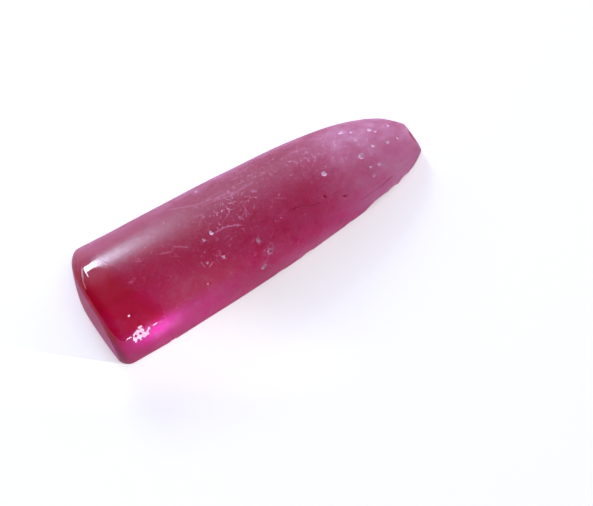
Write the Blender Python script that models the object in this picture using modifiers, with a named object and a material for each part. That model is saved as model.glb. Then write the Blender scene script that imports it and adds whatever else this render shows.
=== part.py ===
# Raw ruby crystal: one half of a flame-grown boule, split along its length and lying on the split face.
# The growth axis runs along X, from the domed cap at -X to the broken seed end at +X. +Z is up, and the
# split face is the plane Z = 0. Metres throughout.

import math

import bmesh
import bpy
from mathutils import Euler, Vector
from mathutils.geometry import interpolate_bezier

MM = 0.001
MERGE = 0.01 * MM  # closer points are one point

# Driving dimensions
LENGTH = 63.6 * MM  # crown of the cap to the seed end, before it broke
RADIUS = 10.8 * MM  # of the boule just behind the cap, and so the height of the half
CAP_RISE = 0.6 * MM  # how far the crown would stand out past a cap with no shoulder
SHOULDER_RADIUS = 2.2 * MM
SEED_RADIUS = 2.9 * MM  # of the neck where the seed broke off
LAST_STRAIGHT = (50.0 * MM, 10.2 * MM)  # along the axis and out from it: steers the long flank
NOSE = (59.2 * MM, 7.2 * MM)  # the same, and steers the rounded nose

# Departures from a true turned shape
SWAY = -0.4 * MM  # sideways bow of the axis at mid-length
SEED_DRIFT = 1.8 * MM  # how far the seed end has wandered towards the near side
DRIFT_POWER = 6  # the higher it is, the closer to the end the wandering starts
CAP_LEAN = 2.9 * MM  # how far the cap falls back on its far side
CAP_LEAN_REACH = 14.0 * MM

# Slow swells along the flank: height, lobes round the axis, radians over the whole length, phase
SWELLS = [
    (0.04 * MM, 2, 9.0, 0.0),
    (0.03 * MM, 3, -17.0, 1.0),
    (0.02 * MM, 1, 31.0, 0.0),
]

# Resolution
CAP_POINTS = 7
SHOULDER_POINTS = 8
FLANK_POINTS = 48
ARC_STEPS = 44
SHARP_EDGE = math.radians(35)

# Bites out of the rim where the split face meets the flank, in mm. Each is where it lies along the crystal,
# which side it is on (-1 near, 1 far), its half-length, half-width and half-height, and how deep it bites.
RIM_BITES = [
    (10.0, -1, 1.7, 1.4, 1.2, 0.22),
    (31.5, -1, 2.6, 1.6, 1.3, 0.20),
    (37.2, -1, 2.0, 1.5, 1.5, 0.28),
    (46.0, -1, 1.7, 1.3, 1.1, 0.22),
    (53.8, -1, 5.6, 2.4, 3.4, 0.42),
    (55.6, -1, 1.9, 1.7, 1.6, 0.62),
    (58.6, -1, 1.6, 1.5, 1.4, 0.45),
    (8.5, 1, 2.2, 1.6, 1.5, 0.35),
    (22.0, 1, 3.2, 1.8, 1.4, 0.30),
    (41.0, 1, 2.4, 1.7, 1.6, 0.40),
    (52.5, 1, 3.0, 1.9, 1.8, 0.50),
]
BITE_SLANT = math.radians(25)  # the bites come in from below this far
BITE_DETAIL = 3  # how often a ball's faces are split in four

# Pits in the frosted flank: along the crystal, degrees round from the far rim, width across and depth, in mm
PITS = [
    (52.0, 59, 0.9, 0.28),
    (53.5, 64, 0.5, 0.18),
    (56.5, 70, 0.8, 0.26),
    (57.2, 76, 0.5, 0.18),
    (60.0, 68, 0.6, 0.20),
    (52.5, 102, 1.0, 0.26),
    (55.3, 96, 0.6, 0.20),
    (58.0, 100, 0.7, 0.22),
    (60.0, 99, 0.5, 0.16),
    (54.6, 123, 0.6, 0.20),
    (53.0, 120, 0.5, 0.18),
    (52.8, 132, 0.6, 0.20),
    (45.2, 100, 0.9, 0.34),
    (46.4, 134, 0.6, 0.24),
    (43.2, 122, 0.6, 0.20),
    (23.6, 96, 0.8, 0.24),
    (21.8, 98, 0.7, 0.20),
    (29.8, 125, 0.8, 0.22),
    (30.8, 141, 1.2, 0.24),
    (28.7, 154, 1.0, 0.22),
    (23.3, 121, 0.5, 0.16),
    (20.5, 118, 0.5, 0.16),
    (19.0, 136, 0.5, 0.16),
    (26.0, 42, 0.7, 0.22),
    (37.5, 28, 0.8, 0.24),
    (14.0, 34, 0.5, 0.16),
    (47.0, 21, 0.9, 0.26),
]
WIDE_PIT = 0.85  # a pit at least this wide is cut by a finer ball
WIDE_PIT_DETAIL = 3
SMALL_PIT_DETAIL = 2

# Conchoidal hollows in the split face: centre along and across, half-length, half-width and depth in mm,
# and degrees turned
HOLLOWS = [
    (12.5, 2.4, 7.2, 4.4, 0.34, 20),
    (25.5, -5.0, 6.4, 3.3, 0.36, -10),
    (44.5, 1.4, 8.4, 4.0, 0.46, 8),
    (57.6, -2.6, 3.4, 2.1, 0.30, -20),
]
HOLLOW_HEIGHT = 2.4 * MM  # half-height of the lens that leaves each hollow
HOLLOW_DETAIL = 4

# Planes that the seed end broke along: a point on each, in mm from the middle of the unbroken end, and
# the direction that the plane faces
SEED_BREAKS = [
    ((-0.30, 0.0, 1.0), (1.0, 0.05, 0.14)),
    ((-0.45, 2.3, 0.6), (0.72, 0.66, 0.18)),
    ((-0.30, -0.8, 2.7), (0.78, -0.16, 0.60)),
]


def flank_profile():
    """The boule's outline from crown to seed end: points along the axis (x) and out from it (y)."""
    flat = (RADIUS - SHOULDER_RADIUS) / (1 - 2 * CAP_RISE * SHOULDER_RADIUS / RADIUS**2)
    cap = [
        Vector((CAP_RISE * (flat * i / CAP_POINTS / RADIUS) ** 2, flat * i / CAP_POINTS, 0))
        for i in range(CAP_POINTS + 1)
    ]
    lean = math.atan(2 * CAP_RISE * flat / RADIUS**2)  # slope of the cap where the shoulder begins
    centre = cap[-1] + SHOULDER_RADIUS * Vector((math.cos(lean), -math.sin(lean), 0))
    shoulder = []
    for i in range(1, SHOULDER_POINTS + 1):
        turn = lean + (math.pi / 2 - lean) * i / SHOULDER_POINTS
        shoulder.append(centre + SHOULDER_RADIUS * Vector((-math.cos(turn), math.sin(turn), 0)))
    flank = interpolate_bezier(
        shoulder[-1],
        Vector((*LAST_STRAIGHT, 0)),
        Vector((*NOSE, 0)),
        Vector((LENGTH, SEED_RADIUS, 0)),
        FLANK_POINTS,
    )
    return cap + shoulder + flank[1:] + [Vector((LENGTH, SEED_RADIUS / 2, 0)), Vector((LENGTH, 0, 0))]


def profile_radius(outline, x):
    """Distance of the outline from the axis at x, read between its points."""
    for a, b in zip(outline, outline[1:]):
        if a.x <= x <= b.x and b.x > a.x:
            return a.y + (b.y - a.y) * (x - a.x) / (b.x - a.x)
    return 0.0


def settle(point):
    """Moves a point of the turned shape to where it lies on the real, slightly bent crystal."""
    along = point.x / LENGTH
    turn = math.atan2(point.z, point.y)
    out = math.hypot(point.y, point.z)
    swell = sum(
        high * math.sin(lobes * turn + waves * along + phase)
        for high, lobes, waves, phase in SWELLS
    )
    fullness = min(out / RADIUS, 1.0)
    grown = 1.0 + swell * fullness / max(out, MERGE)
    far = min(max(point.y / RADIUS, 0.0), 1.0)
    near_cap = max(1.0 - point.x / CAP_LEAN_REACH, 0.0)
    return Vector(
        (
            point.x + CAP_LEAN * far**2 * near_cap**2,
            point.y * grown + SWAY * math.sin(math.pi * along) - SEED_DRIFT * along**DRIFT_POWER,
            point.z * grown,
        )
    )


def new_object(name, mesh, collection):
    """An object for a mesh, linked to its collection."""
    thing = bpy.data.objects.new(name, mesh)
    collection.objects.link(thing)
    return thing


def turned_half(outline, collection):
    """The half boule: the outline turned half way round the growth axis and closed by the split face."""
    line = bpy.data.meshes.new("boule_outline")
    line.from_pydata(outline, [(i, i + 1) for i in range(len(outline) - 1)], [])
    turned = new_object("turned_outline", line, collection)
    screw = turned.modifiers.new("half_turn", "SCREW")
    screw.axis = "X"
    screw.angle = math.pi
    screw.steps = ARC_STEPS
    screw.render_steps = ARC_STEPS
    screw.use_merge_vertices = True
    screw.merge_threshold = MERGE
    bpy.context.view_layer.update()
    mesh = bpy.data.meshes.new_from_object(turned.evaluated_get(bpy.context.evaluated_depsgraph_get()))
    bpy.data.objects.remove(turned)

    bm = bmesh.new()
    bm.from_mesh(mesh)
    bmesh.ops.remove_doubles(bm, verts=bm.verts, dist=MERGE)
    for vert in bm.verts:
        vert.co = settle(vert.co)
    rim = [edge for edge in bm.edges if edge.is_boundary]
    for edge in rim:
        for vert in edge.verts:
            vert.co.z = 0.0
    bmesh.ops.holes_fill(bm, edges=rim, sides=0)
    bmesh.ops.recalc_face_normals(bm, faces=bm.faces)
    bm.to_mesh(mesh)
    bm.free()
    return new_object("ruby_crystal", mesh, collection)


def lump(bm, centre, half_sizes, detail, turn=0.0):
    """Adds a ball to bm, stretched to its half-sizes, turned about the vertical and put in place."""
    made = bmesh.ops.create_icosphere(bm, subdivisions=detail, radius=1.0)["verts"]
    rotation = Euler((0.0, 0.0, turn)).to_matrix()
    for vert in made:
        vert.co = rotation @ Vector([c * h for c, h in zip(vert.co, half_sizes)]) + centre


def rim_bite(bm, outline, along, side, length, width, height, depth):
    """A ball that bites the rim of the split face by depth, coming in from outside and below."""
    x = along * MM
    edge = settle(Vector((x, side * profile_radius(outline, x), 0)))
    outward = Vector((0, side * math.cos(BITE_SLANT), -math.sin(BITE_SLANT)))
    reach = math.hypot(width * math.cos(BITE_SLANT), height * math.sin(BITE_SLANT))
    centre = Vector((edge.x, edge.y, 0)) + outward * (reach - depth) * MM
    lump(bm, centre, (length * MM, width * MM, height * MM), BITE_DETAIL)


def flank_pit(bm, outline, along, around, width, depth):
    """A small ball sunk in the flank, which leaves a round pit."""
    x = along * MM
    angle = math.radians(around)
    out = profile_radius(outline, x)
    skin = settle(Vector((x, out * math.cos(angle), out * math.sin(angle))))
    outward = Vector((0, math.cos(angle), math.sin(angle)))
    ball = (width**2 / 4 + depth**2) / (2 * depth)  # radius of the ball that leaves that pit
    detail = WIDE_PIT_DETAIL if width >= WIDE_PIT else SMALL_PIT_DETAIL
    lump(bm, skin + outward * (ball - depth) * MM, (ball * MM,) * 3, detail)


def face_hollow(bm, along, across, length, width, depth, turn):
    """A flat lens that leaves a shallow conchoidal hollow in the split face."""
    share = 1.0 - depth * MM / HOLLOW_HEIGHT
    spread = 1.0 / math.sqrt(1.0 - share**2)  # the lens is wider than the hollow it leaves
    centre = Vector((along * MM, across * MM, -HOLLOW_HEIGHT * share))
    sizes = (length * MM * spread, width * MM * spread, HOLLOW_HEIGHT)
    lump(bm, centre, sizes, HOLLOW_DETAIL, math.radians(turn))


def seed_break(bm, place, facing):
    """A block with one face in a plane of the broken seed end."""
    size = 2 * RADIUS
    rotation = Vector(facing).to_track_quat("X", "Z").to_matrix()
    point = settle(Vector((LENGTH, 0, 0))) + Vector(place) * MM
    for vert in bmesh.ops.create_cube(bm, size=size)["verts"]:
        vert.co = rotation @ (vert.co + Vector((size / 2, 0, 0))) + point


def carve(crystal, cutters, name, fill):
    """Cuts what fill(bm) makes out of the crystal, one shape at a time, and keeps the result."""
    bm = bmesh.new()
    fill(bm)
    mesh = bpy.data.meshes.new(name)
    bm.to_mesh(mesh)
    bm.free()
    cutter = new_object(name, mesh, cutters)
    cutter.hide_render = True
    cutter.display_type = "WIRE"
    cut = crystal.modifiers.new(name, "BOOLEAN")
    cut.operation = "DIFFERENCE"
    cut.object = cutter


def carve_all(crystal, outline, cutters):
    """Rim bites, the broken seed end, hollows and pits. Shapes that may meet are cutters of their own."""
    for i, bite in enumerate(RIM_BITES):
        carve(crystal, cutters, f"rim_bite_{i}", lambda bm: rim_bite(bm, outline, *bite))
    for i, plane in enumerate(SEED_BREAKS):
        carve(crystal, cutters, f"seed_break_{i}", lambda bm: seed_break(bm, *plane))
    for i, hollow in enumerate(HOLLOWS):
        carve(crystal, cutters, f"hollow_{i}", lambda bm: face_hollow(bm, *hollow))
    carve(crystal, cutters, "pits", lambda bm: [flank_pit(bm, outline, *pit) for pit in PITS])


def ruby_material():
    """Ruby as grown: deep red, clear inside, with a skin that is neither matt nor glossy."""
    material = bpy.data.materials.new("ruby")
    material.use_nodes = True
    shader = material.node_tree.nodes["Principled BSDF"]
    shader.inputs["Base Color"].default_value = (0.52, 0.06, 0.20, 1.0)
    shader.inputs["Roughness"].default_value = 0.35
    shader.inputs["Metallic"].default_value = 0.0
    shader.inputs["IOR"].default_value = 1.77
    shader.inputs["Transmission Weight"].default_value = 0.8
    return material


def centre_on_base(crystal):
    """Moves the crystal so that its box is centred on the origin and stands on Z = 0."""
    bpy.context.view_layer.update()
    shape = crystal.evaluated_get(bpy.context.evaluated_depsgraph_get()).to_mesh()
    xs = [vert.co.x for vert in shape.vertices]
    ys = [vert.co.y for vert in shape.vertices]
    middle = Vector(((min(xs) + max(xs)) / 2, (min(ys) + max(ys)) / 2, 0))
    for thing in bpy.data.objects:
        thing.location = -middle


def main():
    for thing in list(bpy.data.objects):
        bpy.data.objects.remove(thing)
    parts = bpy.data.collections.new("raw_ruby_crystal")
    cutters = bpy.data.collections.new("cutters")
    for collection in (parts, cutters):
        bpy.context.scene.collection.children.link(collection)

    outline = flank_profile()
    crystal = turned_half(outline, parts)
    carve_all(crystal, outline, cutters)
    crystal.data.shade_smooth()
    crystal.data.set_sharp_from_angle(angle=SHARP_EDGE)
    crystal.data.materials.append(ruby_material())
    centre_on_base(crystal)


main()
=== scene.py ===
# Raw ruby crystal: half of a flame-grown boule, lying on its split face.
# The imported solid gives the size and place. A finer surface stands for it here, with its finish.
import math

import bpy
import numpy as np
from mathutils import Matrix, Vector


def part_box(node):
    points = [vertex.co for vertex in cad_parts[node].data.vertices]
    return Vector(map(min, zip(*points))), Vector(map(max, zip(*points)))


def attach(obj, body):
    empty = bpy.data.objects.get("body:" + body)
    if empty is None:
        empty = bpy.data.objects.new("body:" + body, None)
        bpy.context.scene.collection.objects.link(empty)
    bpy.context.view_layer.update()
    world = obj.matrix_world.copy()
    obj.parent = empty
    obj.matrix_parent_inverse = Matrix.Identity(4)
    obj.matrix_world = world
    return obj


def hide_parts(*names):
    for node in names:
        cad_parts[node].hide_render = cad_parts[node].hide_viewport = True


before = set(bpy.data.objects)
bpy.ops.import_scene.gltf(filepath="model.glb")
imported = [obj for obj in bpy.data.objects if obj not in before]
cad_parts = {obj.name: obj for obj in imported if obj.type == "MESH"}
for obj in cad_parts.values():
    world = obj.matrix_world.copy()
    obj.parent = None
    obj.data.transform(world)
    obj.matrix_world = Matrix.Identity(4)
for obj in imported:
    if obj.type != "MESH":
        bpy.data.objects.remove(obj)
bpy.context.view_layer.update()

mm = 0.001


def linearColour(hexCode, alpha=1.0):
    # sRGB hex to linear: divide by 12.92 in the dark end, else ((c + 0.055) / 1.055) to the power 2.4
    values = [int(hexCode[i:i + 2], 16) / 255 for i in (1, 3, 5)]
    return [c / 12.92 if c <= 0.04045 else ((c + 0.055) / 1.055) ** 2.4 for c in values] + [alpha]


def addNode(tree, kind, settings=None, links=None):
    # one node: settings are its own properties or, by socket name or number, its input values
    node = tree.nodes.new(kind)
    for key, value in (settings or {}).items():
        if isinstance(key, int) or key in node.inputs:
            node.inputs[key].default_value = value
        else:
            setattr(node, key, value)
    for key, source in (links or {}).items():
        tree.links.new(source, node.inputs[key])
    return node


# The shape, all in mm before the last step. These are the solid's own driving sizes.
boule = {
    "length": 63.6,  # crown of the cap to the unbroken seed end
    "radius": 10.8,
    "capRise": 0.6,  # how far the cap is domed
    "shoulder": 2.2,  # radius of the round edge behind the cap
    "seedRadius": 2.9,
    "lastStraight": (50.0, 10.2),  # along and out: the two inner control points of the flank
    "nose": (59.2, 7.2),
    "sway": -0.4,  # bow of the whole axis to one side
    "seedDrift": 1.8,  # how far the seed end wanders off
    "driftPower": 6,
    "capLean": 2.9,  # how far the far side of the cap leans back
    "capLeanReach": 14.0,
    # height, lobes round, waves along in radians, phase
    "swells": [(0.04, 2, 9.0, 0.0), (0.03, 3, -17.0, 1.0), (0.02, 1, 31.0, 0.0)],
    "rimFillet": 0.10,  # wear on the sharp rim of the split face
    "rimAngles": (0.0, 0.22, 0.45, 0.75),  # degrees, where the points lie closer together
    "middleHeight": 0.42,  # of the radius: where the loops of both ends close
    "creaseAngle": 38,  # degrees; sharper edges than this aren't smoothed
    "capRings": 20,
    "shoulderStations": 24,
    "flankStations": 345,
    "seedRings": 9,
    "aroundSteps": 186,
    "acrossSteps": 56,
}

# Damage, in mm and degrees, as the solid has it, and smaller marks that only this surface shows
damage = {
    # along, side, half-length, half-width, half-height, bite
    "rimBites": [
        (10.0, -1, 1.7, 1.4, 1.2, 0.22), (31.5, -1, 2.6, 1.6, 1.3, 0.20), (37.2, -1, 2.0, 1.5, 1.5, 0.28),
        (46.0, -1, 1.7, 1.3, 1.1, 0.22), (53.8, -1, 5.6, 2.4, 3.4, 0.42), (55.6, -1, 1.9, 1.7, 1.6, 0.62),
        (58.6, -1, 1.6, 1.5, 1.4, 0.45), (8.5, 1, 2.2, 1.6, 1.5, 0.35), (22.0, 1, 3.2, 1.8, 1.4, 0.30),
        (41.0, 1, 2.4, 1.7, 1.6, 0.40), (52.5, 1, 3.0, 1.9, 1.8, 0.50),
    ],
    "biteSlant": 25,
    # along, degrees round from the far rim, width, depth. These pits are white, partly a painted glint
    "pits": [
        (52.0, 59, 0.9, 0.28), (53.5, 64, 0.5, 0.18), (56.5, 70, 0.8, 0.26), (57.2, 76, 0.5, 0.18),
        (60.0, 68, 0.6, 0.20), (52.5, 102, 1.0, 0.26), (55.3, 96, 0.6, 0.20), (58.0, 100, 0.7, 0.22),
        (60.0, 99, 0.5, 0.16), (54.6, 123, 0.6, 0.20), (53.0, 120, 0.5, 0.18), (52.8, 132, 0.6, 0.20),
        (45.2, 100, 0.9, 0.34), (23.6, 96, 0.8, 0.24), (23.3, 121, 0.5, 0.16), (26.0, 42, 0.7, 0.22),
        (37.5, 28, 0.8, 0.24), (14.0, 34, 0.5, 0.16), (47.0, 21, 0.9, 0.26),
    ],
    # pits that are mauve and not white
    "dullPits": [
        (21.8, 98, 0.7, 0.20), (29.8, 125, 0.8, 0.22), (30.8, 141, 1.2, 0.24), (28.7, 154, 1.0, 0.22),
        (20.5, 118, 0.5, 0.16), (19.0, 136, 0.5, 0.16),
    ],
    # glassy pits, which look dark, and smaller chips that only this surface shows
    "chips": [
        (46.4, 134, 0.6, 0.24), (43.2, 122, 0.6, 0.20),
        (5.4, 121, 0.6, 0.08), (5.0, 125, 0.8, 0.10), (5.6, 134, 0.5, 0.05), (4.6, 138, 0.6, 0.05),
        (6.1, 140, 0.9, 0.04), (4.9, 152, 0.9, 0.07), (5.8, 153, 0.7, 0.06), (7.2, 143, 0.7, 0.04),
    ],
    # crushed ones, whose white is a painted glint: most of them paint the burst of light at the corner by the
    # cap
    "bruisesAndGlints": [
        (5.0, 144, 2.3, 0.12), (4.2, 147, 1.1, 0.08), (6.0, 147, 1.4, 0.09), (5.6, 139, 1.0, 0.06),
        (5.2, 150, 1.1, 0.07), (6.9, 144, 0.6, 0.05), (4.0, 150, 0.6, 0.05), (4.9, 124, 0.5, 0.05),
        (5.3, 120, 0.4, 0.05),
    ],
    # how each kind of pit looks: 0 glassy, 1 white, partly a painted glint, 2 dull mauve
    "pitKinds": {"pits": 1, "dullPits": 2, "bruisesAndGlints": 1, "chips": 0},
    "raggedWaves": (7.1, 9.3, 8.2),  # radians per mm each way
    "raggedCut": -1.3,  # a crushed patch is left out where the three waves add up to less
    "crushedShare": 0.6,  # of a face's corners that makes the face crushed
    # along, across, half-length, half-width, depth, degrees turned
    "hollows": [
        (12.5, 2.4, 7.2, 4.4, 0.34, 20), (25.5, -5.0, 6.4, 3.3, 0.36, -10),
        (44.5, 1.4, 8.4, 4.0, 0.46, 8), (57.6, -2.6, 3.4, 2.1, 0.30, -20),
    ],
    "hollowHeight": 2.4,
    "hollowBlend": 0.05,  # worn edges of the hollows
    "hollowSink": 0.004,  # keeps the blend under the flat of the face
    # point from the middle of the unbroken end, and the way the plane faces
    "seedBreaks": [
        ((-0.30, 0.0, 1.0), (1.0, 0.05, 0.14)),
        ((-0.45, 2.3, 0.6), (0.72, 0.66, 0.18)),
        ((-0.30, -0.8, 2.7), (0.78, -0.16, 0.60)),
    ],
}


def bouleProfile(c):
    # x is the way along the axis and r the way out from it: a parabola x = rise (r / R)^2 over the cap,
    # then a quarter of a circle round the shoulder, then one cubic Bezier down the flank to the seed end
    capEdge = (c["radius"] - c["shoulder"]) / (1 - 2 * c["capRise"] * c["shoulder"] / c["radius"] ** 2)
    capX = c["capRise"] * (capEdge / c["radius"]) ** 2
    lean = math.atan(2 * c["capRise"] * capEdge / c["radius"] ** 2)
    turn = np.linspace(lean, math.pi / 2, c["shoulderStations"])
    centre = (capX + c["shoulder"] * math.cos(lean), capEdge - c["shoulder"] * math.sin(lean))
    shoulder = np.c_[centre[0] - c["shoulder"] * np.cos(turn), centre[1] + c["shoulder"] * np.sin(turn)]
    t = np.linspace(0, 1, 4 * c["flankStations"])[:, None]
    p0, p1, p2 = shoulder[-1], np.array(c["lastStraight"]), np.array(c["nose"])
    p3 = np.array((c["length"], c["seedRadius"]))
    flank = (1 - t) ** 3 * p0 + 3 * (1 - t) ** 2 * t * p1 + 3 * (1 - t) * t ** 2 * p2 + t ** 3 * p3
    run = np.r_[0, np.cumsum(np.hypot(*np.diff(flank, axis=0).T))]
    even = np.linspace(0, run[-1], c["flankStations"] + 1)[1:]
    flank = np.c_[np.interp(even, run, flank[:, 0]), np.interp(even, run, flank[:, 1])]
    return capEdge, np.vstack([shoulder, flank])


def radiusAt(along, c):
    return np.interp(along, *bouleProfile(c)[1].T)


def loopShape(c):
    # angles round the back, closer together at both rims, then the way across the split face from -1 to 1
    step = math.pi / c["aroundSteps"]
    rim = np.radians(c["rimAngles"])
    angles = np.r_[rim, np.linspace(step, math.pi - step, c["aroundSteps"] - 1), math.pi - rim[::-1]]
    across = np.linspace(-1, 1, c["acrossSteps"] + 1)[1:-1]
    return angles, across


def settle(p, c):
    # the bends of the real crystal: swells round and along, a bow, a wandering seed end and a leaning cap
    x, y, z = p[..., 0], p[..., 1], p[..., 2]
    along = x / c["length"]
    turn, out = np.arctan2(z, y), np.hypot(y, z)
    swell = sum(h * np.sin(lobes * turn + waves * along + phase) for h, lobes, waves, phase in c["swells"])
    grown = 1 + swell * np.minimum(out / c["radius"], 1) / np.maximum(out, 0.01)
    far = np.clip(y / c["radius"], 0, 1)
    nearCap = np.maximum(1 - x / c["capLeanReach"], 0)
    bow = c["sway"] * np.sin(np.pi * along) - c["seedDrift"] * along ** c["driftPower"]
    return np.stack([x + c["capLean"] * far ** 2 * nearCap ** 2, y * grown + bow, z * grown], -1)


def bouleRings(c):
    # rings[i, j]: ring i from the middle of the cap to the middle of the seed end, point j round its loop
    capEdge, stations = bouleProfile(c)
    angles, across = loopShape(c)
    x, r = stations[:, :1], stations[:, 1:]
    back = np.stack([x + 0 * angles, r * np.cos(angles), r * np.sin(angles)], -1)
    inset = c["rimFillet"] - np.sqrt(np.maximum(
        c["rimFillet"] ** 2 - np.maximum(c["rimFillet"] - back[..., 2], 0) ** 2, 0))
    back[..., 1] -= np.sign(back[..., 1]) * inset
    # behind the cap the split face starts on a curve, which straightens along the shoulder
    bend = np.clip(1 - np.arange(len(stations)) / (c["shoulderStations"] - 1), 0, 1)[:, None]
    curve = c["capRise"] * (capEdge / c["radius"]) ** 2 * (across ** 2 - 1)
    face = np.stack([x + bend * curve, (r - c["rimFillet"]) * across, 0 * r + 0 * across], -1)
    rings = np.concatenate([back, face], 1)
    # the cap and the seed end are closed by ever smaller loops round a point in their middle
    capMiddle = np.array((0, 0, c["middleHeight"] * capEdge))
    seedMiddle = np.array((c["length"], 0, c["middleHeight"] * c["seedRadius"]))
    t = (np.arange(1, c["capRings"]) / c["capRings"])[:, None, None]
    cap = capMiddle + t * (rings[0] - capMiddle)
    cap[..., 0] = c["capRise"] * (np.hypot(cap[..., 1], cap[..., 2]) / c["radius"]) ** 2
    t = (np.arange(1, c["seedRings"])[::-1] / c["seedRings"])[:, None, None]
    seed = seedMiddle + t * (rings[-1] - seedMiddle)
    capMiddle = np.array((c["capRise"] * (capMiddle[2] / c["radius"]) ** 2, 0, capMiddle[2]))
    return np.concatenate([cap, rings, seed]), capMiddle, seedMiddle, len(angles)


def pushOut(p, centre, sizes, keep=None):
    # points inside an ellipsoid go straight out from its centre to its surface
    rel = (p - centre) / sizes
    far = np.sqrt((rel ** 2).sum(-1, keepdims=True))
    inside = (far < 1) if keep is None else (far < 1) & keep[..., None]
    moved = centre + rel / np.maximum(far, 1e-6) * sizes  # the small number only keeps 0 out
    return np.where(inside, moved, p), inside[..., 0]


def carve(p, flat, c, d):
    # the solid's own cuts: planes at the seed end, balls at the rim and in the flank, lenses underneath
    broken, bruisedAndGlint = np.zeros(p.shape[:-1]), np.zeros(p.shape[:-1])
    end = settle(np.array((c["length"], 0.0, 0.0)), c)
    for place, facing in d["seedBreaks"]:
        facing = np.array(facing) / np.linalg.norm(facing)
        over = np.maximum((p - end - place) @ facing, 0)
        p[..., 0] -= over / facing[0]
        broken = np.maximum(broken, over > 0)
    for along, across, length, width, depth, turn in d["hollows"]:
        share = 1 - depth / d["hollowHeight"]
        spread = 1 / math.sqrt(1 - share ** 2)
        a = math.radians(turn)
        x, y = p[..., 0] - along, p[..., 1] - across
        u = (x * math.cos(a) + y * math.sin(a)) / (length * spread)
        v = (y * math.cos(a) - x * math.sin(a)) / (width * spread)
        high = d["hollowHeight"] * (np.sqrt(np.maximum(1 - u ** 2 - v ** 2, 0)) - share)
        # smooth maximum of 0 and high, so that the hollow runs out softly into the face
        high = (high + np.sqrt(high ** 2 + d["hollowBlend"] ** 2)) / 2 - d["hollowSink"]
        p[..., 2] = np.where(flat, np.maximum(p[..., 2], high), p[..., 2])
    slant = math.radians(d["biteSlant"])
    for along, side, length, width, height, depth in d["rimBites"]:
        edge = settle(np.array((along, side * radiusAt(along, c), 0.0)), c)
        outward = np.array((0, side * math.cos(slant), -math.sin(slant)))
        reach = math.hypot(width * math.cos(slant), height * math.sin(slant))
        centre = np.array((edge[0], edge[1], 0)) + outward * (reach - depth)
        p, hit = pushOut(p, centre, np.array((length, width, height)))
        broken = np.maximum(broken, hit)
    for kind, look in d["pitKinds"].items():
        for along, around, width, depth in d[kind]:
            # a pit is the cap of a ball with radius (width^2 / 4 + depth^2) / (2 depth)
            a, out = math.radians(around), radiusAt(along, c)
            surface = settle(np.array((along, out * math.cos(a), out * math.sin(a))), c)
            ball = (width ** 2 / 4 + depth ** 2) / (2 * depth)
            centre = surface + np.array((0, math.cos(a), math.sin(a))) * (ball - depth)
            p, hit = pushOut(p, centre, np.array((ball, ball, ball)), ~flat)
            if look == 0:
                broken = np.maximum(broken, hit)
            else:
                waves = np.sin(p * d["raggedWaves"] + along).sum(-1)
                bruisedAndGlint[hit & (waves > d["raggedCut"])] = look
    return p, broken, bruisedAndGlint


def crystalMesh(c, d):
    # joins the rings with quads and closes both ends with triangles round their middle points
    rings, capMiddle, seedMiddle, backCount = bouleRings(c)
    count, around = rings.shape[:2]
    points = np.concatenate([capMiddle[None], rings.reshape(-1, 3), seedMiddle[None]])
    grown = points.copy()  # where each point lies on the straight, unbroken boule
    points = settle(points, c)
    flat = np.zeros(len(points), bool)
    onFace = np.zeros((count, around), bool)
    onFace[c["capRings"] - 1:count - c["seedRings"] + 1, backCount:] = True
    flat[1:-1] = onFace.ravel()
    points, broken, bruisedAndGlint = carve(points, flat, c, d)
    broken = np.maximum(broken, flat)

    index = 1 + np.arange(count * around).reshape(count, around)
    nextOne = np.roll(index, -1, 1)
    quads = np.stack([index[:-1], nextOne[:-1], nextOne[1:], index[1:]], -1).reshape(-1, 4)
    first = np.stack([np.zeros(around, int), nextOne[0], index[0]], -1)
    last = np.stack([np.full(around, len(points) - 1), index[-1], nextOne[-1]], -1)
    return points, grown, broken, flat, bruisedAndGlint, quads, np.concatenate([first, last])


# How the skin changes over the crystal: mm along, and degrees round from the far rim
skin = {
    "glassEnds": (2.6, 6.0),  # the melt's gloss fades from the first to the second
    # mm per degree that the gloss reaches further, from which angle, and for how many degrees
    "glassEdge": (0.075, 60.0, 70.0),
    "crownEdge": (-0.75, -0.45),  # the flat of the cap lies less far along than this, with a minus sign
    "paintedSheenFar": (72.0, 28.0),  # the far side is painted paler, a painted sheen, from the first angle to the second
    # the near rim is painted paler between these angles, a painted sheen
    "paintedSheenNear": (140.0, 172.0),
    "paintedSheenNearAlong": (14.0, 34.0),  # mm
    "milkSeed": (32.0, 56.0),
    "milkAndSheenShares": (0.80, 0.62, 0.88),  # of the far side's painted sheen, the near rim's painted sheen and the seed end's milk
    "paintedSheenNearCap": 0.30,  # share of the near rim's painted sheen that is left at the cap
    "milkBody": (0.23, 16.0, 32.0),  # share of the middle, and where it starts and is full
    "paintedLightPink": (134.0, 150.0),  # by the cap, the near rim is painted from crimson to pink between these angles, a painted glow
    "paintedGlowEnds": (14.0, 30.0),  # mm
    "paintedGlowFade": 0.80,  # how much of it is gone after that
    "crownPaintedReflectionMilk": 0.15,  # the flat of the cap is satin, with a painted reflection: a little milk and pink
    "crownPaintedReflectionPink": 0.30,
    "brokenFade": 0.60,  # how much clearer broken faces are than the skin beside them
    "veil": (8.4, 149.5, 3.8, 9.5),  # mm along, degrees round, then its reach both ways
}


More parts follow.
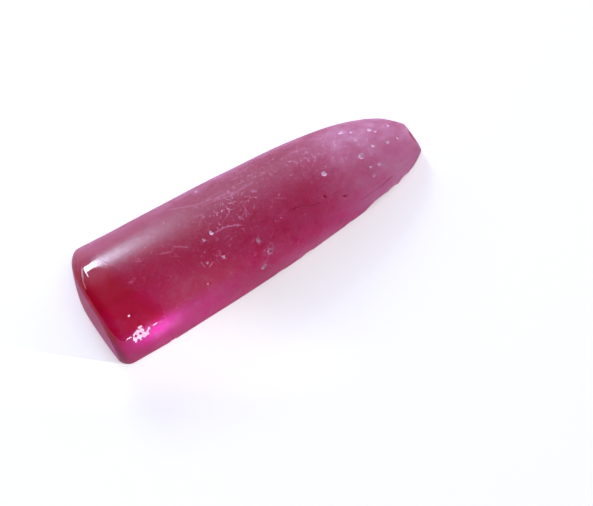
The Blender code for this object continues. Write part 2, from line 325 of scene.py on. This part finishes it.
# Marks on the skin, in mm along and degrees round: pale scratches, dark healed cracks, and scuffed patches
marks = {
    "scratchWidth": 0.09,  # mm
    # how pale, then the places it runs through
    "scratches": [
        (0.6, (20.1, 48), (23.7, 61), (26.6, 65), (29.3, 68), (31.0, 72), (34.2, 71)),
        (0.4, (25.0, 66), (28.8, 71), (31.4, 74)), (0.5, (22.8, 74), (24.2, 76), (22.5, 84)),
        (0.6, (28.1, 80), (27.9, 88), (26.8, 91)), (0.6, (30.7, 87), (30.5, 95), (29.2, 97)),
        (0.9, (24.2, 98), (26.1, 98), (28.2, 102)), (0.7, (17.1, 90), (18.2, 94), (18.9, 97)),
        (0.7, (14.6, 90), (16.2, 93)), (0.9, (19.6, 115), (19.7, 120)), (0.9, (21.3, 120), (20.4, 122)),
        (0.9, (23.1, 115), (23.0, 120), (23.6, 124)), (0.7, (10.4, 85), (11.3, 87)),
        (0.8, (30.1, 121), (29.5, 123), (29.7, 129)),
        (0.7, (30.7, 134), (30.3, 142), (30.9, 145), (31.6, 138)),
        (0.5, (31.4, 147), (32.6, 146)), (0.8, (28.0, 153), (28.9, 150), (30.1, 159)),
        (1.0, (51.8, 102), (53.0, 100)), (0.3, (49.6, 148), (53.4, 149), (55.7, 148)),
        (0.5, (7.6, 99), (8.9, 98)), (0.4, (40.5, 60), (43.0, 58), (45.2, 60)),
        (0.5, (36.0, 98), (37.2, 103)),
        (0.4, (12.5, 60), (14.0, 57)), (0.4, (33.0, 50), (35.5, 47)), (0.5, (45.5, 76), (47.6, 80)),
    ],
    "cracks": [
        (0.5, (37.7, 77), (40.7, 75)), (0.9, (37.3, 116), (39.1, 118), (40.9, 124), (42.0, 125)),
        (0.9, (43.1, 121), (43.6, 125)), (0.6, (49.1, 152), (53.2, 153), (55.9, 151)),
        (0.9, (46.0, 133), (47.1, 135)), (0.7, (34.0, 156), (35.4, 154)),
    ],
    # along, degrees round, half-length, half-width in mm, strength
    "scuffs": [
        (28.0, 86, 6.0, 4.5, 1.0), (44.0, 74, 5.0, 3.0, 0.8), (33.0, 62, 6.0, 3.5, 0.6),
        (24.0, 108, 4.5, 3.0, 0.6), (30.5, 140, 3.5, 3.0, 0.7), (52.0, 80, 5.0, 3.0, 0.5),
        (14.0, 84, 4.0, 3.0, 0.4), (8.0, 45, 4.0, 4.0, 0.2),
    ],
}


def smoothStep(v, low, high):
    # 0 up to low, 1 from high on, and 3 t^2 - 2 t^3 between them
    t = np.clip((v - low) / (high - low), 0, 1)
    return t * t * (3 - 2 * t)


def markAttributes(along, around, c, m):
    # the skin is unrolled to mm along and mm round. A stroke fades as exp(-(d / width)^2) from its line
    here = np.stack([along, np.radians(around) * radiusAt(along, c)], -1)
    found = {}
    for name in ("scratches", "cracks"):
        value = np.zeros(len(along))
        for strength, *stops in m[name]:
            line = np.array(stops, float)
            line[:, 1] = np.radians(line[:, 1]) * radiusAt(line[:, 0], c)
            for a, b in zip(line[:-1], line[1:]):
                t = np.clip((here - a) @ (b - a) / ((b - a) @ (b - a)), 0, 1)[:, None]
                d = np.linalg.norm(here - a - t * (b - a), axis=1)
                value = np.maximum(value, strength * np.exp(-(d / m["scratchWidth"]) ** 2))
        found[name] = value
    scuff = np.zeros(len(along))
    for x, turned, length, width, strength in m["scuffs"]:
        v = math.radians(turned) * radiusAt(x, c)
        d2 = ((here[:, 0] - x) / length) ** 2 + ((here[:, 1] - v) / width) ** 2
        scuff = np.maximum(scuff, strength * np.exp(-d2))
    return {"scratch": found["scratches"], "crack": found["cracks"], "scuff": scuff}


def skinAttributes(grown, broken, flat, c, s):
    # each share is a smooth step of the angle round or of the way along, and the largest one counts
    along, turned = grown[:, 0], np.degrees(np.arctan2(grown[:, 2], grown[:, 1]))
    crown = smoothStep(-along, *s["crownEdge"])
    farShare, nearShare, seedShare = s["milkAndSheenShares"]
    bodyShare, *bodyEnds = s["milkBody"]
    alongRim = s["paintedSheenNearCap"] + (1 - s["paintedSheenNearCap"]) * smoothStep(along, *s["paintedSheenNearAlong"])
    # milk, with painted sheen: the far side and the near rim are painted paler
    milkAndSheen = np.maximum.reduce([
        farShare * smoothStep(turned, *s["paintedSheenFar"]),
        nearShare * smoothStep(turned, *s["paintedSheenNear"]) * alongRim,
        seedShare * smoothStep(along, *s["milkSeed"]),
        bodyShare * smoothStep(along, *bodyEnds),
        s["crownPaintedReflectionMilk"] * crown,
    ])
    perDegree, edgeFrom, edgeReach = s["glassEdge"]
    shift = perDegree * np.clip(turned - edgeFrom, 0, edgeReach)
    frost = np.maximum(smoothStep(along - shift, *s["glassEnds"]), crown) * (1 - broken)
    # painted glow: the near rim by the cap is painted pink, fading further along, and the flat of the cap
    # gets a paler painted reflection pink
    fade = 1 - s["paintedGlowFade"] * smoothStep(along, *s["paintedGlowEnds"])
    paintedLightPink = np.maximum(smoothStep(turned, *s["paintedLightPink"]) * fade, s["crownPaintedReflectionPink"] * crown)
    x, angle, reachAlong, reachAround = s["veil"]
    veil = np.exp(-((along - x) / reachAlong) ** 2 - ((turned - angle) / reachAround) ** 2)
    drawn = {name: value * ~flat for name, value in markAttributes(along, turned, c, marks).items()}
    milkAndSheen = milkAndSheen * (1 - s["brokenFade"] * broken)
    return {"milkAndSheen": milkAndSheen, "frost": frost, "split": flat, "along": along,
            "paintedLightPink": paintedLightPink, "crown": crown, "veil": veil, **drawn}


def crystalPiece(c, d):
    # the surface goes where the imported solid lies, with one attribute for each share of its finish
    points, grown, broken, flat, bruisedAndGlint, quads, triangles = crystalMesh(c, d)
    low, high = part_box("ruby_crystal")
    middle = (np.array(low) + np.array(high)) / 2
    own = (points.min(0) + points.max(0)) / 2
    place = points * mm
    place[:, :2] += middle[:2] - own[:2] * mm
    mesh = bpy.data.meshes.new("rubyHalfBoule")
    mesh.vertices.add(len(points))
    mesh.vertices.foreach_set("co", place.ravel())
    corners = np.concatenate([quads.ravel(), triangles.ravel()])
    sizes = np.r_[np.full(len(quads), 4), np.full(len(triangles), 3)]
    mesh.loops.add(len(corners))
    mesh.loops.foreach_set("vertex_index", corners)
    mesh.polygons.add(len(sizes))
    mesh.polygons.foreach_set("loop_start", np.r_[0, np.cumsum(sizes)[:-1]])
    mesh.update(calc_edges=True)
    crushedAndGlint = (bruisedAndGlint > 0)[quads].mean(1) > d["crushedShare"]
    slots = np.r_[crushedAndGlint, np.zeros(len(triangles), bool)].astype(np.int32)  # 0 clear, 1 crushed, white partly as a painted glint
    mesh.polygons.foreach_set("material_index", slots)
    mesh.shade_smooth()
    mesh.set_sharp_from_angle(angle=math.radians(c["creaseAngle"]))
    shares = {**skinAttributes(grown, broken, flat, c, skin), "dull": bruisedAndGlint > 1}
    for name, values in shares.items():
        mesh.attributes.new(name, "FLOAT", "POINT").data.foreach_set("value", values.astype(np.float32))
    piece = bpy.data.objects.new("rubyHalfBoule", mesh)
    bpy.context.scene.collection.objects.link(piece)
    print("crystal:", len(points), "points,", len(quads) * 2 + len(triangles), "triangles")
    return piece


# Flame-grown ruby is single-crystal corundum coloured by chromium. It is clear and deep red inside, and
# green light dies within a few millimetres, blue within a few more. The skin is sintered matt as it grows,
# and the last of the melt leaves the cap glossy. Broken faces are as bright as glass.
ruby = {
    "ior": 1.77,
    "clearness": 0.92,  # transmission of the clear parts
    "hazeLoss": 0.42,  # less in milky skin, under the painted sheen, and on the flat of the cap
    "veilLoss": 0.66,  # and in the veil of fine cracks at the bruised corner
    "markLoss": 0.50,  # and in scratches
    "absorptionColour": (0.90, 0.0, 0.76, 1.0),
    "absorptionPerMetre": 300.0,
    # roughness
    "glossy": 0.03,
    "fractured": 0.24,  # the split face
    "satin": 0.29,  # skin beside the cap
    "frosted": 0.60,  # skin further down
    "frostAlong": (7.0, 24.0),  # mm, from satin to frosted
    "grain": 0.06,  # how far the roughness varies from grain to grain
    "bumpStrength": 0.35,
    "bumpDepth": 0.1,  # mm
    # pattern sizes in mm. Sintered grain is finer than 0.05 mm, and is drawn coarser so that it shows
    "cloudSize": 3.846,
    "cloudReach": 1.2,  # how much the clouds change the milk
    "warpSize": 2.0,
    "warpReach": 1.6,
    "hairCell": 1.0526,
    "hairEdge": 0.06,  # share of a cell
    "gapSize": 0.7692,
    "gapEnds": (0.50, 0.62),  # of the noise that breaks the hairlines up
    "hairInScuff": 1.3,
    "hairElsewhere": 0.16,
    "speckCell": 2.0833,
    "speckEnds": (0.03, 0.08),  # share of a cell
    "grainSize": 0.2857,
    "glassColour": "#f0384a",  # the clear cap
    "deepColour": "#f42e74",  # skin over the deep middle
    "milkAndSheenColour": "#fab8dc",  # milky skin at the seed end, and painted sheen at the far side and the near rim
    # painted pink light: the glow at the near rim by the cap and the reflection on the flat of the cap
    "paintedLightColour": "#ff40c8",
    "scratchColour": "#ffc4e4",
    "crackColour": "#a01440",
}


def perMetre(size):
    # a pattern's scale, from the size in mm that its features have
    return 1 / (size * mm)


def rubyMaterial(r):
    material = bpy.data.materials.new("flameGrownRuby")
    material.use_nodes = True
    tree = material.node_tree
    tree.nodes.clear()
    milkAndSheen, frost, along, split, scratch, crack, scuff, paintedLightPink, crown, veil = (
        addNode(tree, "ShaderNodeAttribute", {"attribute_name": name}).outputs["Fac"]
        for name in ("milkAndSheen", "frost", "along", "split", "scratch", "crack", "scuff", "paintedLightPink", "crown", "veil")
    )
    place = addNode(tree, "ShaderNodeTexCoord").outputs["Object"]

    # colour of the skin: the warm cap, painted pink light (a painted glow at the near rim by the cap, a
    # painted reflection on the flat of the cap), and milky where clouds gather, with painted sheen at the far
    # side and the near rim
    cloud = addNode(tree, "ShaderNodeTexNoise", {
        "Scale": perMetre(r["cloudSize"]), "Detail": 6.0, "Roughness": 0.74,
    }, {"Vector": place}).outputs["Fac"]
    wander = addNode(tree, "ShaderNodeMath", {
        "operation": "MULTIPLY_ADD", 1: r["cloudReach"], 2: -r["cloudReach"] / 2,
    }, {0: cloud}).outputs[0]
    cloudy = addNode(tree, "ShaderNodeMath", {
        "operation": "ADD", "use_clamp": True,
    }, {0: milkAndSheen, 1: wander}).outputs[0]
    warm = addNode(tree, "ShaderNodeMix", {
        "data_type": "RGBA", 6: linearColour(r["glassColour"]), 7: linearColour(r["deepColour"]),
    }, {0: frost}).outputs[2]
    # painted pink light over the warm colour: the glow at the near rim by the cap and the reflection on the
    # flat of the cap
    rim = addNode(tree, "ShaderNodeMix", {
        "data_type": "RGBA", 7: linearColour(r["paintedLightColour"]),
    }, {0: paintedLightPink, 6: warm}).outputs[2]
    colour = addNode(tree, "ShaderNodeMix", {
        "data_type": "RGBA", 7: linearColour(r["milkAndSheenColour"]),
    }, {0: cloudy, 6: rim}).outputs[2]

    # hairlines: the cell borders of a warped Voronoi pattern, broken up by noise, most of them in the scuffs
    warp = addNode(tree, "ShaderNodeTexNoise", {
        "Scale": perMetre(r["warpSize"]), "Detail": 2.0,
    }, {"Vector": place}).outputs["Color"]
    bent = addNode(tree, "ShaderNodeVectorMath", {
        "operation": "MULTIPLY_ADD", 1: (r["warpReach"] * mm,) * 3,
    }, {0: warp, 2: place}).outputs[0]
    border = addNode(tree, "ShaderNodeTexVoronoi", {
        "feature": "DISTANCE_TO_EDGE", "Scale": perMetre(r["hairCell"]),
    }, {"Vector": bent}).outputs["Distance"]
    hair = addNode(tree, "ShaderNodeMapRange", {
        "From Min": 0.0, "From Max": r["hairEdge"], "To Min": 1.0, "To Max": 0.0,
    }, {"Value": border}).outputs[0]
    gaps = addNode(tree, "ShaderNodeTexNoise", {
        "Scale": perMetre(r["gapSize"]), "Detail": 1.0,
    }, {"Vector": place}).outputs["Fac"]
    whole = addNode(tree, "ShaderNodeMapRange", {
        "From Min": r["gapEnds"][0], "From Max": r["gapEnds"][1],
    }, {"Value": gaps}).outputs[0]
    where = addNode(tree, "ShaderNodeMath", {
        "operation": "MULTIPLY_ADD", 1: r["hairInScuff"], 2: r["hairElsewhere"],
    }, {0: scuff}).outputs[0]
    for share in (whole, where, frost):
        hair = addNode(tree, "ShaderNodeMath", {"operation": "MULTIPLY"}, {0: hair, 1: share}).outputs[0]

    # specks: the middles of sparse Voronoi cells that happen to lie in the skin
    dots = addNode(tree, "ShaderNodeTexVoronoi", {"Scale": perMetre(r["speckCell"])}, {"Vector": place})
    speck = addNode(tree, "ShaderNodeMapRange", {
        "From Min": r["speckEnds"][0], "From Max": r["speckEnds"][1], "To Min": 1.0, "To Max": 0.0,
    }, {"Value": dots.outputs["Distance"]}).outputs[0]
    speck = addNode(tree, "ShaderNodeMath", {"operation": "MULTIPLY"}, {0: speck, 1: frost}).outputs[0]
    pale = scratch
    for marking in (hair, speck):
        pale = addNode(tree, "ShaderNodeMath", {"operation": "MAXIMUM"}, {0: pale, 1: marking}).outputs[0]
    marked = addNode(tree, "ShaderNodeMix", {
        "data_type": "RGBA", 7: linearColour(r["scratchColour"]),
    }, {0: pale, 6: colour}).outputs[2]
    finished = addNode(tree, "ShaderNodeMix", {
        "data_type": "RGBA", 7: linearColour(r["crackColour"]),
    }, {0: crack, 6: marked}).outputs[2]

    # roughness: glass on the cap and in breaks, satin beside the cap, frosted further down, with some grain
    satin = addNode(tree, "ShaderNodeMapRange", {
        "From Min": r["frostAlong"][0], "From Max": r["frostAlong"][1],
        "To Min": r["satin"], "To Max": r["frosted"],
    }, {"Value": along}).outputs[0]
    bare = addNode(tree, "ShaderNodeMix", {2: r["glossy"], 3: r["fractured"]}, {0: split}).outputs[0]
    smooth = addNode(tree, "ShaderNodeMix", None, {0: frost, 2: bare, 3: satin}).outputs[0]
    grain = addNode(tree, "ShaderNodeTexNoise", {
        "Scale": perMetre(r["grainSize"]), "Detail": 3.0,
    }, {"Vector": place}).outputs["Fac"]
    uneven = addNode(tree, "ShaderNodeMath", {
        "operation": "MULTIPLY_ADD", 1: r["grain"], 2: -r["grain"] / 2,
    }, {0: grain}).outputs[0]
    rough = addNode(tree, "ShaderNodeMath", {
        "operation": "MULTIPLY_ADD",
    }, {0: uneven, 1: frost, 2: smooth}).outputs[0]
    raised = addNode(tree, "ShaderNodeMath", {"operation": "MULTIPLY"}, {0: grain, 1: frost}).outputs[0]
    height = addNode(tree, "ShaderNodeMath", {"operation": "SUBTRACT"}, {0: raised, 1: crack}).outputs[0]
    bump = addNode(tree, "ShaderNodeBump", {
        "Strength": r["bumpStrength"], "Distance": r["bumpDepth"] * mm,
    }, {"Height": height}).outputs[0]

    # clearness: milk and painted sheen count by their square, so that thin milk stays clear, and each mark
    # takes its own share
    thick = addNode(tree, "ShaderNodeMath", {"operation": "MULTIPLY"}, {0: cloudy, 1: cloudy}).outputs[0]
    # the flat of the cap is hazy as well, so that its painted reflection colour shows
    haze = addNode(tree, "ShaderNodeMath", {"operation": "MAXIMUM"}, {0: thick, 1: crown}).outputs[0]
    passed = addNode(tree, "ShaderNodeMath", {
        "operation": "MULTIPLY_ADD", 1: -r["hazeLoss"], 2: r["clearness"],
    }, {0: haze}).outputs[0]
    for loss, share in (("veilLoss", veil), ("markLoss", pale)):
        passed = addNode(tree, "ShaderNodeMath", {
            "operation": "MULTIPLY_ADD", 1: -r[loss],
        }, {0: share, 2: passed}).outputs[0]

    shader = addNode(tree, "ShaderNodeBsdfPrincipled", {"Metallic": 0.0, "IOR": r["ior"]}, {
        "Base Color": finished, "Roughness": rough, "Normal": bump, "Transmission Weight": passed,
    })
    depth = addNode(tree, "ShaderNodeVolumeAbsorption", {
        "Color": r["absorptionColour"], "Density": r["absorptionPerMetre"],
    })
    addNode(tree, "ShaderNodeOutputMaterial", None, {
        "Surface": shader.outputs[0], "Volume": depth.outputs[0],
    })
    return material


# Crushed crystal in the pits: so many tiny cracks that it is white with a breath of pink, and not clear. The
# white is partly painted glints, and a painted burst of light at the corner by the cap
bruiseAndGlint = {
    # white, partly a painted glint
    "colour": "#ffe8f6",
    "crackColour": "#f0a8d4",
    "dullColour": "#d48cae",  # stained pits are mauve
    "roughness": 0.5,
    "ior": 1.77,
    "crumbSize": 0.2222,  # mm, coarser than real crumbs so that they show
    "bumpStrength": 0.6,
    "bumpDepth": 0.1,
}


def bruiseAndGlintMaterial(b):
    material = bpy.data.materials.new("crushedRubyAndPaintedGlint")
    material.use_nodes = True
    tree = material.node_tree
    tree.nodes.clear()
    place = addNode(tree, "ShaderNodeTexCoord").outputs["Object"]
    crumbs = addNode(tree, "ShaderNodeTexVoronoi", {
        "Scale": perMetre(b["crumbSize"]),
    }, {"Vector": place}).outputs["Color"]
    white = addNode(tree, "ShaderNodeMix", {
        "data_type": "RGBA", 6: linearColour(b["crackColour"]), 7: linearColour(b["colour"]),
    }, {0: crumbs}).outputs[2]
    dull = addNode(tree, "ShaderNodeAttribute", {"attribute_name": "dull"}).outputs["Fac"]
    colour = addNode(tree, "ShaderNodeMix", {
        "data_type": "RGBA", 7: linearColour(b["dullColour"]),
    }, {0: dull, 6: white}).outputs[2]
    bump = addNode(tree, "ShaderNodeBump", {
        "Strength": b["bumpStrength"], "Distance": b["bumpDepth"] * mm,
    }, {"Height": crumbs}).outputs[0]
    shader = addNode(tree, "ShaderNodeBsdfPrincipled", {
        "Metallic": 0.0, "Roughness": b["roughness"], "IOR": b["ior"],
    }, {"Base Color": colour, "Normal": bump})
    addNode(tree, "ShaderNodeOutputMaterial", None, {"Surface": shader.outputs[0]})
    return material


# The floor, the light and the camera, in metres, degrees and watts unless a note says otherwise
studio = {
    "floorColour": "#f6f6f6",
    "windowColour": (0.62, 0.80, 1.0),  # linear, as light has it
    "plainColour": (1.0, 1.0, 1.0),
    "floorSize": 1.6,
    # the dim room's soft glows: direction, inner cosine, outer cosine, strength, colour
    "roomGlows": [
        ((0.0, 0.0, -1.0), 0.015, -0.015, 0.46, "#ffc8dc"),  # pale table up to a sharp horizon
        ((0.0, 0.95, 0.30), 1.0, 0.55, 0.62, "#ccdcfc"),
        ((0.0, 0.60, 0.80), 1.0, 0.55, 0.10, "#ccd4fc"),
        ((0.70, 0.65, 0.30), 1.0, 0.55, 0.66, "#e0d0fc"),
        ((0.95, 0.0, 0.30), 1.0, 0.55, 0.60, "#ecd4f8"),
        ((0.60, 0.0, 0.80), 1.0, 0.55, 0.14, "#e4d4f8"),
        ((0.70, -0.65, 0.30), 1.0, 0.55, 0.20, "#f0dcec"),
    ],
    # direction from the crystal, distance, size and power
    # the first two show in the gloss, the next two also light the crystal through its skin
    "windowPane": ((0.05, 0.88, 0.45), 0.60, (0.16, 0.13), 1.25),
    "windowPost": ((-0.03, 0.80, 0.60), 0.60, (0.045, 0.14), 0.32),
    "skyLight": ((-0.40, 0.85, 0.30), 0.60, (0.30, 0.10), 0.30),
    "sideLight": ((-0.75, 0.60, 0.25), 0.60, (0.20, 0.10), 0.12),
    # two narrow beams on the near corner by the cap: direction, distance, place, cone, width and power
    "cornerSpot": ((0.098, -0.995, 0.020), 0.60, (-0.0267, -0.0087, 0.0062), 0.8, 0.08, 3.0),
    "glowSpot": ((0.75, -0.60, 0.25), 0.60, (-0.0238, -0.0091, 0.0054), 1.2, 0.02, 76.0),
    "softTop": ((0.0, -0.1, 1.0), 0.60, (0.50, 0.50), 1.35),  # only lights what is matt
    "floorGlow": 0.34,
    "floorGap": 0.1,  # mm between the crystal and the board, so that the two faces don't meet
    "cameraAzimuth": -30.0,
    "cameraElevation": 70.0,
    "cameraRoll": 2.2,
    "cameraDistance": 0.350,
    "frameWidth": 593,
    "frameHeight": 506,
    "pixelsPerMm": 5.89,
    "target": (0.0002, 0.0001, 0.0),  # this point is seen at the pixel that follows
    "targetPixel": (250.9, 221.1),
    "sensor": 36.0,  # mm
    "nearClip": 0.01,
    "bounces": 24,  # so many that light finds its way out of the crystal
}


def floorMaterial(s):
    # matt white board, lit a little from behind as on a light table, so that shadows on it stay pale
    material = bpy.data.materials.new("mattWhiteBoard")
    material.use_nodes = True
    tree = material.node_tree
    tree.nodes.clear()
    board = addNode(tree, "ShaderNodeBsdfDiffuse", {"Color": linearColour(s["floorColour"])})
    glow = addNode(tree, "ShaderNodeEmission", {"Strength": s["floorGlow"]})
    shader = addNode(tree, "ShaderNodeAddShader", None, {0: board.outputs[0], 1: glow.outputs[0]})
    addNode(tree, "ShaderNodeOutputMaterial", None, {"Surface": shader.outputs[0]})
    return material


def makeFloor(s):
    half = s["floorSize"] / 2
    mesh = bpy.data.meshes.new("floorBoard")
    corners = [(-half, -half, 0), (half, -half, 0), (half, half, 0), (-half, half, 0)]
    mesh.from_pydata(corners, [], [(0, 1, 2, 3)])
    floor = bpy.data.objects.new("floorBoard", mesh)
    floor.location.z = -s["floorGap"] * mm
    mesh.materials.append(floorMaterial(s))
    bpy.context.scene.collection.objects.link(floor)
    floor.visible_glossy = False  # the room's own glow is what shows in the gloss


def hangLamp(light, direction, distance, place=(0, 0, 0)):
    # that far out from the place, facing it
    lamp = bpy.data.objects.new(light.name, light)
    outward = Vector(direction).normalized()
    lamp.location = Vector(place) + outward * distance
    lamp.rotation_euler = outward.to_track_quat("Z", "Y").to_euler()
    bpy.context.scene.collection.objects.link(lamp)
    return lamp


def makeWindow(name, colour, direction, distance, size, power):
    light = bpy.data.lights.new(name, "AREA")
    light.shape = "RECTANGLE"
    light.size, light.size_y = size
    light.energy = power
    light.color = colour
    return hangLamp(light, direction, distance)


def makeBeam(name, direction, distance, place, cone, width, power):
    light = bpy.data.lights.new(name, "SPOT")
    light.spot_size = math.radians(cone)
    light.spot_blend = 1.0
    light.shadow_soft_size = width / 2
    light.energy = power
    hangLamp(light, direction, distance, place)


def makeRoom(s):
    # the sum of round glows, each a smooth step of the cosine between its direction and the ray's
    world = bpy.data.worlds.new("dimRoom")
    world.use_nodes = True
    tree = world.node_tree
    way = addNode(tree, "ShaderNodeTexCoord").outputs["Generated"]
    total = None
    for direction, inner, outer, strength, colour in s["roomGlows"]:
        axis = tuple(Vector(direction).normalized())
        facing = addNode(tree, "ShaderNodeVectorMath", {"operation": "DOT_PRODUCT", 1: axis}, {0: way})
        glow = addNode(tree, "ShaderNodeMapRange", {
            "interpolation_type": "SMOOTHSTEP", "From Min": outer, "From Max": inner, "To Max": strength,
        }, {"Value": facing.outputs["Value"]})
        tint = linearColour(colour)[:3]
        links = {0: glow.outputs[0]} if total is None else {0: glow.outputs[0], 2: total}
        total = addNode(tree, "ShaderNodeVectorMath", {
            "operation": "MULTIPLY_ADD", 1: tint,
        }, links).outputs[0]
    tree.links.new(total, tree.nodes["Background"].inputs["Color"])
    bpy.context.scene.world = world


def makeCamera(s):
    a, e, roll = (math.radians(s[k]) for k in ("cameraAzimuth", "cameraElevation", "cameraRoll"))
    back = Vector((math.sin(a) * math.cos(e), -math.cos(a) * math.cos(e), math.sin(e)))
    right = Vector((math.cos(a), math.sin(a), 0))
    up = back.cross(right)
    right, up = math.cos(roll) * right - math.sin(roll) * up, math.sin(roll) * right + math.cos(roll) * up
    target = Vector(s["target"])
    place = target + back * s["cameraDistance"]
    # turned a little, so that the target lands on its pixel and not in the middle of the frame
    scale = s["pixelsPerMm"] / mm
    aside = (s["frameWidth"] / 2 - s["targetPixel"][0]) / scale
    below = (s["frameHeight"] / 2 - s["targetPixel"][1]) / scale
    back = (place - (target + right * aside - up * below)).normalized()
    right = up.cross(back).normalized()
    up = back.cross(right)
    camera = bpy.data.cameras.new("camera")
    camera.sensor_width = s["sensor"]
    camera.lens = scale * s["cameraDistance"] * s["sensor"] / s["frameWidth"]
    camera.clip_start = s["nearClip"]
    holder = bpy.data.objects.new("camera", camera)
    holder.matrix_world = Matrix.Translation(place) @ Matrix((right, up, back)).transposed().to_4x4()
    bpy.context.scene.collection.objects.link(holder)
    bpy.context.scene.camera = holder


def makeStudio(s):
    makeFloor(s)
    makeRoom(s)
    for name in ("cornerSpot", "glowSpot"):
        makeBeam(name, *s[name])
    for name in ("windowPane", "windowPost", "skyLight", "sideLight"):
        lamp = makeWindow(name, s["windowColour"], *s[name])
        lamp.visible_transmission = name in ("skyLight", "sideLight")
    lamp = makeWindow("softTop", s["plainColour"], *s["softTop"])
    lamp.visible_transmission = lamp.visible_glossy = False
    makeCamera(s)
    scene = bpy.context.scene
    scene.view_settings.view_transform = "Standard"
    scene.cycles.max_bounces = scene.cycles.transmission_bounces = s["bounces"]
    print("studio: floor, room, lights and camera")


crystal = crystalPiece(boule, damage)
crystal.data.materials.append(rubyMaterial(ruby))
crystal.data.materials.append(bruiseAndGlintMaterial(bruiseAndGlint))
print("material: flame-grown ruby")
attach(crystal, "root")
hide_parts("ruby_crystal")
makeStudio(studio)
